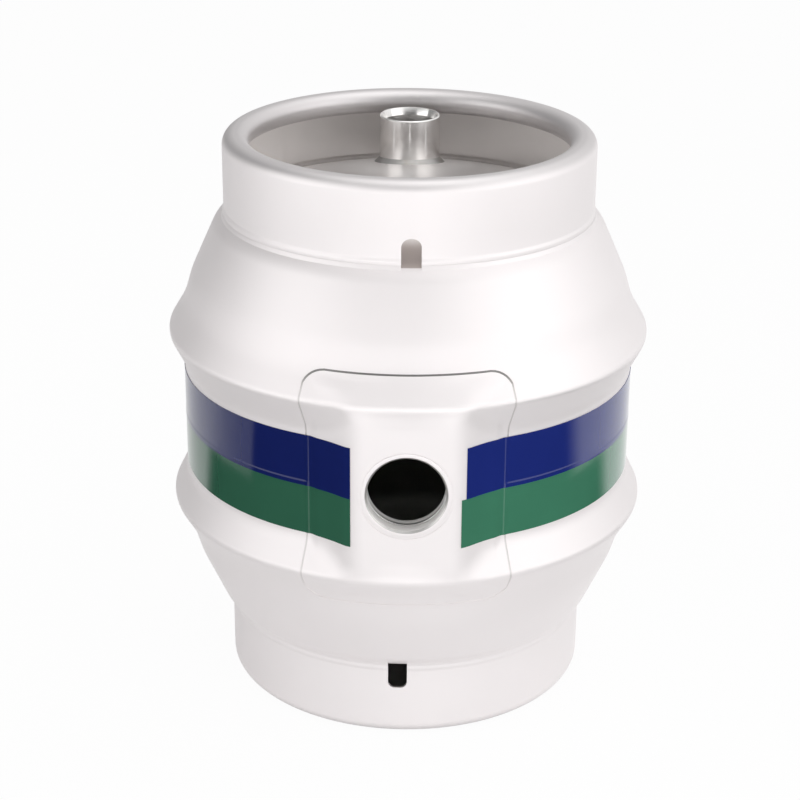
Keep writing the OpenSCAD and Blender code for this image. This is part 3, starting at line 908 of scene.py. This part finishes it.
class CASK_OT_shells(bpy.types.Operator):
    """Models the two drawn shells, with the plate's opening and the hole for the tap bush"""

    bl_idname = "cask.shells"
    bl_label = "Shells"

    def execute(self, context):
        outside = finished(context, "satin_sheet", satin_steel)
        head = finished(context, "spun_head", head_steel)
        inside = finished(context, "dull_sheet", dull_steel)
        for node, upper in (("upper_shell", True), ("lower_shell", False)):
            self.shell(context.scene, node, upper, (outside, head, inside))
        return {"FINISHED"}

    def shell(self, scene, node, upper, materials):
        vessel = scene.cask_vessel
        plate = scene.cask_plate
        well_r = scene.cask_chime.foot_r
        bm = bmesh.new()
        draw_shell(bm, vessel)
        revolve(bm)
        if not upper:
            upside_down(bm)
        self.open_front(bm, plate)
        if upper:
            self.open_head(bm, vessel, scene.cask_bushes)
        for face in bm.faces:
            spot = face.calc_center_median()
            in_well = math.hypot(spot.x, spot.y) < well_r and abs(spot.z) > plate.half_h
            face.material_index = 1 if in_well else 0
        thicken(bm, vessel.sheet, 2)
        add_piece(bm, Z_AXIS * vessel.mid_z, node, "satin_steel", *materials)

    def open_front(self, bm, plate):
        """Cuts the opening that the plate and its weld fill."""
        reach_x = plate.half_w + plate.weld_w * PLATE_REACH
        reach_z = plate.half_h + plate.weld_w * PLATE_REACH
        near = faces_where(bm, lambda co: co.y < 0 and abs(co.x) < reach_x and abs(co.z) < reach_z)
        cut_out(bm, plate_planes(plate, plate.weld_w), near)

    def open_head(self, bm, vessel, bushes):
        """Cuts the hole under the tap bush."""
        centre = Vector((0, bushes.tap_y, vessel.crown_z))
        seat = bushes.tap_r - bushes.tap_wall / 2
        reach = bushes.tap_r * TAP_HOLE_REACH
        near = faces_where(bm, lambda co: co.z > 0 and (co - centre).xy.length < reach)
        cut_out(bm, ring_planes(centre, X_AXIS, Y_AXIS, seat, TAP_HOLE_SIDES), near)


class CASK_OT_plate(bpy.types.Operator):
    """Models the shive plate, with the flat pad pressed out of it"""

    bl_idname = "cask.plate"
    bl_label = "Shive plate"

    def execute(self, context):
        vessel = context.scene.cask_vessel
        plate = context.scene.cask_plate
        bm = self.pressed_sheet(vessel, plate)
        cut_along(bm, plate_planes(plate, 0), trim=True)
        self.open_pad(bm, vessel, plate, context.scene.cask_bushes)
        thicken(bm, vessel.sheet, 1)
        outside = finished(context, "satin_sheet", satin_steel)
        inside = finished(context, "dull_sheet", dull_steel)
        add_piece(bm, Z_AXIS * vessel.mid_z, "shive_plate", "satin_steel", outside, inside)
        return {"FINISHED"}

    def pressed_sheet(self, vessel, plate):
        """The plate's outer face, a little larger than its outline."""
        table = wall_table(vessel)
        half_turn = plate.half_angle * GRID_SPARE_TURN
        half_h = plate.half_h * GRID_SPARE_H
        bm = bmesh.new()
        bmesh.ops.create_grid(
            bm, x_segments=round(2 * half_turn * vessel.ring_r / plate.step),
            y_segments=round(2 * half_h / plate.step), size=1,
        )
        for vert in bm.verts:
            turn = vert.co.x * half_turn
            z = vert.co.y * half_h
            r = face_radius(plate, table, turn, z)
            vert.co = (r * math.sin(turn), -r * math.cos(turn), z)
        bmesh.ops.recalc_face_normals(bm, faces=bm.faces)
        if bm.faces[:][0].normal.y > 0:
            bmesh.ops.reverse_faces(bm, faces=bm.faces)
        return bm

    def open_pad(self, bm, vessel, plate, bushes):
        """Cuts the hole that the filling bush and its weld fill."""
        centre = Vector((0, -plate.pad_y, bushes.shive_z - vessel.mid_z))
        hole_r = bushes.shive_r + plate.hole_gap
        reach = hole_r * PAD_HOLE_REACH
        near = [face for face in bm.faces if (face.calc_center_median() - centre).length < reach]
        cut_out(bm, ring_planes(centre, X_AXIS, Z_AXIS, hole_r, PAD_HOLE_SIDES), near)


class CASK_OT_chimes(bpy.types.Operator):
    """Models the two chimes, with their rolled rims and drain slots"""

    bl_idname = "cask.chimes"
    bl_label = "Chimes"

    def execute(self, context):
        chime = context.scene.cask_chime
        self.chime(context, "top_chime", True, chime.top_slot_r, chime.top_slot_turn)
        self.chime(context, "bottom_chime", False, chime.bottom_slot_r, chime.bottom_slot_turn)
        return {"FINISHED"}

    def chime(self, context, node, upper, end_r, turn):
        chime = context.scene.cask_chime
        wall_r = chime.foot_r - chime.foot_out
        lip_r = wall_r - chime.roll_w
        bead_z = chime.rim_z - chime.bead_h
        bm = bmesh.new()
        draw_path(bm, [
            (chime.foot_r, chime.foot_z, 0),
            (chime.foot_r, chime.foot_z + chime.foot_h - chime.step_h, chime.step_r),
            (wall_r, chime.foot_z + chime.foot_h, chime.step_r),
            (wall_r, chime.rim_z, chime.roll_r),
            (lip_r, chime.rim_z, chime.roll_r),
            (lip_r, bead_z, chime.roll_r),
            (lip_r + chime.curl_w, bead_z, 0),
        ])
        revolve(bm)
        above_slots = chime.foot_z + chime.slot_h + chime.edge_r * SPARE_EDGES
        cut_along(bm, [(Z_AXIS * above_slots, Z_AXIS)])
        for k in range(chime.slot_count):
            self.slot(bm, chime, end_r, turn + 2 * math.pi * k / chime.slot_count)
        thicken(bm, chime.sheet, 1)
        break_edges(bm, chime.edge_r)
        if not upper:
            upside_down(bm)
        outside = finished(context, "satin_sheet", satin_steel)
        inside = finished(context, "spun_wall", wall_steel)
        add_piece(bm, Z_AXIS * context.scene.cask_vessel.mid_z, node, "satin_steel", outside, inside)

    def slot(self, bm, chime, end_r, turn):
        """Cuts one slot, open at the welded edge."""
        top = chime.foot_z + chime.slot_h
        half_w = chime.slot_w / 2
        planes = [(Z_AXIS * top, Z_AXIS)]
        for side in (-1, 1):
            normal = X_AXIS * side
            planes.append((normal * half_w, normal))
            planes += corner_planes(half_w, top, end_r, side, 1, SLOT_CORNER_SIDES)
        spin = Matrix.Rotation(turn, 3, "Z")
        planes = [(spin @ spot, spin @ normal) for spot, normal in planes]
        out = spin @ -Y_AXIS
        across = spin @ X_AXIS
        near = faces_where(bm, lambda co: co.dot(out) > 0 and abs(co.dot(across)) < chime.slot_w)
        cut_out(bm, planes, near)


class CASK_OT_bushes(bpy.types.Operator):
    """Models the filling bush in the pad and the tap bush on the head"""

    bl_idname = "cask.bushes"
    bl_label = "Bushes"

    def execute(self, context):
        self.shive_bush(context)
        self.tap_bush(context)
        return {"FINISHED"}

    def shive_bush(self, context):
        bushes = context.scene.cask_bushes
        bore_r = bushes.shive_r - bushes.shive_wall
        groove_r = bore_r + bushes.groove_t
        groove_end = bushes.groove_y + bushes.groove_w
        middle = (bore_r + bushes.shive_r) / 2
        edge = bushes.edge_r
        bm = bmesh.new()
        draw_path(bm, [
            (middle, 0, 0),
            (bore_r + bushes.mouth, 0, edge),
            (bore_r, -bushes.mouth, edge),
            (bore_r, -bushes.groove_y, edge),
            (groove_r, -bushes.groove_y, edge),
            (groove_r, -groove_end, edge),
            (bore_r, -groove_end, edge),
            (bore_r, -bushes.shive_l, edge),
            (bushes.shive_r, -bushes.shive_l, edge),
            (bushes.shive_r, 0, edge),
            (middle, 0, 0),
        ])
        revolve(bm)
        for face in bm.faces:
            spot = face.calc_center_median()
            in_bore = spot.xy.length < bore_r + bushes.mouth * MOUTH_SHARE
            on_mouth = in_bore and spot.z > -bushes.mouth
            face.material_index = 2 if on_mouth else 0 if in_bore else 1
        bmesh.ops.rotate(bm, matrix=Matrix.Rotation(math.pi / 2, 3, "X"), verts=bm.verts)
        place = Vector((0, -bushes.shive_y, bushes.shive_z))
        bore = finished(
            context, "turned_shive_bush", turned_steel, Y_PART, -place, bushes.shive_rough, UNSTRETCHED,
            bushes.shive_metal, (bushes.groove_y, bushes.groove_y + bushes.polish_w),
        )
        outside = finished(context, "satin_sheet", satin_steel)
        mouth = finished(context, "shaded_mouth", mouth_steel)
        add_piece(bm, place, "shive_bush", "turned_steel", bore, outside, mouth)

    def tap_bush(self, context):
        bushes = context.scene.cask_bushes
        bore_r = bushes.tap_r - bushes.tap_wall
        middle = (bore_r + bushes.tap_r) / 2
        bevel = bushes.tap_bevel
        edge = bushes.edge_r
        low = bushes.tap_low
        high = bushes.tap_high
        bm = bmesh.new()
        draw_path(bm, [
            (middle, low, 0),
            (bushes.tap_r - bevel, low, edge),
            (bushes.tap_r, low + bevel, edge),
            (bushes.tap_r, high - bevel, edge),
            (bushes.tap_r - bevel, high, edge),
            (bore_r + bushes.tap_mouth, high, edge),
            (bore_r, high - bushes.tap_mouth_h, edge),
            (bore_r, low, edge),
            (middle, low, 0),
        ])
        revolve(bm)
        place = Y_AXIS * bushes.tap_y
        settings = (Z_PART, -place, bushes.tap_rough, bushes.tap_stretch)
        outside = finished(context, "turned_tap_bush", turned_steel, *settings)
        add_piece(bm, place, "keystone_bush", "turned_steel", outside)


class CASK_OT_welds(bpy.types.Operator):
    """Gives the weld beads their finish"""

    bl_idname = "cask.welds"
    bl_label = "Welds"

    def execute(self, context):
        bead = finished(context, "weld_bead", weld_steel)
        flush = finished(context, "satin_sheet", satin_steel)
        finishes = {
            "girth_weld": bead, "shive_plate_weld": bead, "shive_bush_weld": flush,
            "top_chime_weld": flush, "bottom_chime_weld": flush, "keystone_bush_weld": bead,
        }
        for name, finish in finishes.items():
            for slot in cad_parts[name].material_slots:
                slot.material = finish
        return {"FINISHED"}


class CASK_OT_bands(bpy.types.Operator):
    """Models the two bands of tape, which wrap the belly and the plate's flanks"""

    bl_idname = "cask.bands"
    bl_label = "Tape bands"

    def execute(self, context):
        scene = context.scene
        bands = scene.cask_bands
        place = Z_AXIS * scene.cask_vessel.mid_z
        blue = self.band(scene, bands.blue_low, bands.blue_high, bands.blue_right, bands.lap_h)
        vinyl = finished(context, "blue_vinyl", tape, scene.cask_finishes.blue, bands.fade)
        add_piece(blue, place, "blue_band", "blue_tape", vinyl)
        green = self.band(scene, bands.green_low, bands.green_high, bands.green_right, 0)
        vinyl = finished(context, "green_vinyl", tape, scene.cask_finishes.green, bands.fade)
        add_piece(green, place, "green_band", "green_tape", vinyl)
        return {"FINISHED"}

    def band(self, scene, low, high, right, lap_h):
        """The mesh of one band, with a lap at its lower edge if lap_h isn't 0."""
        vessel = scene.cask_vessel
        plate = scene.cask_plate
        bands = scene.cask_bands
        table = wall_table(vessel)
        low -= vessel.mid_z
        high -= vessel.mid_z
        middle = (low + high) / 2
        start = self.end_turn(plate, table, bands.left, middle)
        stop = 2 * math.pi - self.end_turn(plate, table, right, middle)
        steps = round((stop - start) / TAPE_STEP)
        bm = bmesh.new()
        bmesh.ops.create_grid(bm, x_segments=steps, y_segments=TAPE_ROWS, size=0.5)
        bmesh.ops.translate(bm, vec=(0.5, 0.5, 0), verts=bm.verts)
        bmesh.ops.scale(bm, vec=(stop - start, high - low, 1), verts=bm.verts)
        bmesh.ops.translate(bm, vec=(start, low, 0), verts=bm.verts)
        cut_along(bm, self.fine_lines(vessel, plate, bands, low + lap_h))
        for vert in bm.verts:
            turn = vert.co.x if vert.co.x < math.pi else vert.co.x - 2 * math.pi
            z = vert.co.y
            r = face_radius(plate, table, turn, z) + bands.lift
            off_seam = (abs(turn) - plate.half_angle) * vessel.belly_r / bands.seam_w
            r += bands.seam_t * math.exp(-off_seam * off_seam)
            if lap_h > 0:
                above_lap = (z - low - lap_h) / bands.seam_w
                on_lap = 1 / (1 + math.exp(LAP_STEEPNESS * above_lap))
                r += bands.lap_t * on_lap / (1 + math.exp(-LAP_END_STEEPNESS * off_seam))
            vert.co = (-r * math.sin(turn), -r * math.cos(turn), z)
        bmesh.ops.recalc_face_normals(bm, faces=bm.faces)
        thicken(bm, bands.lift * TAPE_SOLID, 0)
        return bm

    def end_turn(self, plate, table, distance, z):
        """Angle from the front at which the outer face is that far from the middle of the pad."""
        turn = 0.0
        for _ in range(END_TRIES):
            turn = math.asin(distance / face_radius(plate, table, turn, z))
        return turn

    def fine_lines(self, vessel, plate, bands, lap_z):
        """Planes across the flat tape, close together where the plate's weld and the lap show through."""
        planes = []
        for k in range(-FINE_LINES, FINE_LINES + 1):
            offset = k * FINE_STEP * bands.seam_w
            for seam in (plate.half_angle, 2 * math.pi - plate.half_angle):
                planes.append((X_AXIS * (seam + offset / vessel.belly_r), X_AXIS))
            planes.append((Y_AXIS * (lap_z + offset), Y_AXIS))
        return planes


class CASK_OT_stage(bpy.types.Operator):
    """Sets up the floor, the lamps, the sky and the camera"""

    bl_idname = "cask.stage"
    bl_label = "Stage"

    def execute(self, context):
        self.floor(context)
        self.card(context)
        self.sky(context)
        self.lamps(context)
        self.camera(context)
        context.scene.view_settings.view_transform = "Standard"
        return {"FINISHED"}

    def add_object(self, context, name, bm, surface):
        """An object of the stage, with a material of its own."""
        mesh = bpy.data.meshes.new(name)
        bm.to_mesh(mesh)
        bm.free()
        mesh.materials.append(finished(context, name, surface))
        made = bpy.data.objects.new(name, mesh)
        context.scene.collection.objects.link(made)
        return made

    def floor(self, context):
        half = context.scene.cask_stage.floor_half
        bm = bmesh.new()
        bmesh.ops.create_grid(bm, x_segments=FLOOR_STEPS, y_segments=FLOOR_STEPS, size=half)
        floor = self.add_object(context, "floor", bm, self.floor_surface)

    def floor_surface(self, finish, scene):
        """A plain floor that the camera and the steel see as white, and that still takes a shadow."""
        stage = scene.cask_stage
        lit = finish.node("BsdfDiffuse", inputs={"Color": opaque(stage.floor)})
        white = finish.node("Emission", inputs={"Color": WHITE, "Strength": 1.0})
        path = finish.node("LightPath").output.node
        seen = Socket(finish, path.outputs["Is Camera Ray"])
        glossy = Socket(finish, path.outputs["Is Glossy Ray"])
        through = Socket(finish, path.outputs["Is Transmission Ray"])
        x, y, _ = finish.axes(finish.spot())
        open_floor = finish.rise(finish.radius(x, y), stage.shade_r, stage.shade_r * SHADE_EDGE)
        to_right = finish.rise(x, -SHINE_HALF_W, SHINE_HALF_W)
        shine = finish.blend(to_right, stage.shine_left, stage.shine_right)
        plain = (seen * stage.show + (glossy + through) * shine) * open_floor
        return finish.node("MixShader", inputs={0: plain, 1: lit, 2: white})

    def card(self, context):
        """A dark card that lies in two arcs on the floor, out of the picture, and that the tape reflects."""
        stage = context.scene.cask_stage
        bm = bmesh.new()
        for side in (-1, 1):
            near = bm.verts.new((0, -stage.card_near, CARD_Z))
            far = bm.verts.new((0, -stage.card_far, CARD_Z))
            edge = bm.edges.new((near, far))
            bmesh.ops.rotate(bm, matrix=Matrix.Rotation(side * stage.card_gap, 3, "Z"), verts=[near, far])
            bmesh.ops.spin(
                bm, geom=[near, far, edge], cent=(0, 0, 0), axis=(0, 0, 1),
                angle=side * (stage.card_end - stage.card_gap), steps=CARD_STEPS,
            )
        card = self.add_object(context, "card", bm, self.card_surface)
        card.visible_camera = False

    def card_surface(self, finish, scene):
        """Dark card that clears towards the ends of its arcs, the outer part before the inner one."""
        stage = scene.cask_stage
        x, y, _ = finish.axes(finish.spot())
        turn = finish.math("ABSOLUTE", finish.math("ARCTAN2", x, 0.0 - y))
        on_right = finish.math("GREATER_THAN", x)
        past_side = turn - finish.blend(on_right, stage.card_left, stage.card_right)
        fade = finish.blend(on_right, stage.left_fade, stage.right_fade)
        at_end = finish.rise(turn, stage.card_left + stage.left_fade, stage.card_end)
        clear_left = finish.blend(at_end, stage.left_clear, 1.0)
        outer = 1.0 - finish.rise(past_side, 0.0, fade) * finish.blend(on_right, clear_left, 1.0)
        step = stage.card_step
        beyond = finish.rise(finish.radius(x, y), step - CARD_STEP_HALF_W, step + CARD_STEP_HALF_W)
        ending = finish.rise(turn, stage.card_end - stage.right_fade, stage.card_end)
        inner = (1.0 - ending) * (1.0 - beyond)
        dark = finish.node("BsdfDiffuse", inputs={"Color": opaque(stage.card)})
        clear = finish.node("BsdfTransparent")
        cover = finish.math("MAXIMUM", outer, inner)
        return finish.node("MixShader", inputs={0: cover, 1: clear, 2: dark})

    def sky(self, context):
        """An even light from all round, with a dim gap behind the camera."""
        stage = context.scene.cask_stage
        world = bpy.data.worlds.new("studio")
        world.use_nodes = True
        finish = Finish(world.node_tree)
        across, along, up = finish.axes(finish.node("TexCoord", output="Generated"))
        level = finish.blend(finish.rise(across, -1.0, 1.0), stage.sky_left, stage.sky_right)
        facing = finish.math("DIVIDE", 0.0 - along, finish.radius(across, along))
        gap = finish.rise(facing, math.cos(stage.gap_outer), math.cos(stage.gap_inner))
        gap = gap * (1.0 - finish.rise(up, math.sin(stage.gap_low), math.sin(stage.gap_high)))
        overhead = finish.rise(up, OVERHEAD_FROM, OVERHEAD_FULL)
        level = level * (1.0 - gap * stage.sky_gap) * (overhead * stage.sky_high + 1.0)
        back = finish.node("Background", inputs={"Color": WHITE, "Strength": level})
        finish.node("OutputWorld", inputs={"Surface": back})
        context.scene.world = world

    def lamps(self, context):
        stage = context.scene.cask_stage
        aim = Z_AXIS * MID_Z
        level = math.cos(stage.lamp_rise) * stage.lamp_reach
        for name, side, power in (("right_lamp", 1, stage.right), ("left_lamp", -1, stage.left)):
            spot = aim + Vector((
                side * math.sin(stage.lamp_turn) * level,
                -math.cos(stage.lamp_turn) * level,
                math.sin(stage.lamp_rise) * stage.lamp_reach,
            ))
            self.lamp(context, name, spot, aim, stage.lamp_w, stage.lamp_h, power)
        low = Vector((0, -stage.lamp_reach, stage.front_z))
        self.lamp(context, "front_lamp", low, aim, stage.front_w, stage.front_h, stage.front)
        high = aim + Z_AXIS * stage.lamp_reach
        self.lamp(context, "top_lamp", high, aim, stage.top_w, stage.top_w, stage.top)

    def lamp(self, context, name, spot, aim, width, height, power):
        """A rectangular soft box at spot that shines at aim."""
        light = bpy.data.lights.new(name, "AREA")
        light.shape = "RECTANGLE"
        light.size = width
        light.size_y = height
        light.energy = power
        lamp = bpy.data.objects.new(name, light)
        lamp.visible_camera = False
        lamp.location = spot
        lamp.rotation_euler = (aim - spot).to_track_quat("-Z", "Y").to_euler()
        context.scene.collection.objects.link(lamp)

    def camera(self, context):
        stage = context.scene.cask_stage
        camera = bpy.data.cameras.new("camera")
        camera.sensor_width = SENSOR_W
        camera.lens = stage.lens
        holder = bpy.data.objects.new("camera", camera)
        turn = Matrix.Rotation(stage.pan, 3, "Z")
        tilt = Matrix.Rotation(math.pi / 2 - stage.pitch, 3, "X")
        roll = Matrix.Rotation(stage.roll, 3, "Z")
        holder.location = (0, -stage.camera_y, stage.camera_z)
        holder.rotation_euler = (turn @ tilt @ roll).to_euler()
        context.scene.collection.objects.link(holder)
        context.scene.camera = holder


class CASK_PT_panel(bpy.types.Panel):
    """Lists the cask's pieces and its stage"""

    bl_label = "Beer Cask"
    bl_idname = "CASK_PT_panel"
    bl_space_type = "VIEW_3D"
    bl_region_type = "UI"
    bl_category = "Cask"

    def draw(self, context):
        for operator in OPERATORS:
            self.layout.operator(operator.bl_idname)


GROUPS = {
    "cask_vessel": VesselSizes,
    "cask_chime": ChimeSizes,
    "cask_plate": PlateSizes,
    "cask_bushes": BushSizes,
    "cask_bands": BandSizes,
    "cask_finishes": Finishes,
    "cask_stage": StageSettings,
}
OPERATORS = (
    CASK_OT_shells, CASK_OT_plate, CASK_OT_chimes, CASK_OT_bushes,
    CASK_OT_welds, CASK_OT_bands, CASK_OT_stage,
)


def register():
    for group in (*GROUPS.values(), *OPERATORS, CASK_PT_panel):
        bpy.utils.register_class(group)
    for name, group in GROUPS.items():
        setattr(bpy.types.Scene, name, PointerProperty(type=group))


def unregister():
    for name in GROUPS:
        delattr(bpy.types.Scene, name)
    for group in (CASK_PT_panel, *OPERATORS, *GROUPS.values()):
        bpy.utils.unregister_class(group)


def main():
    register()
    bpy.ops.cask.shells()
    bpy.ops.cask.plate()
    bpy.ops.cask.chimes()
    bpy.ops.cask.bushes()
    bpy.ops.cask.welds()
    bpy.ops.cask.bands()
    bpy.ops.cask.stage()


if __name__ == "__main__":
    main()
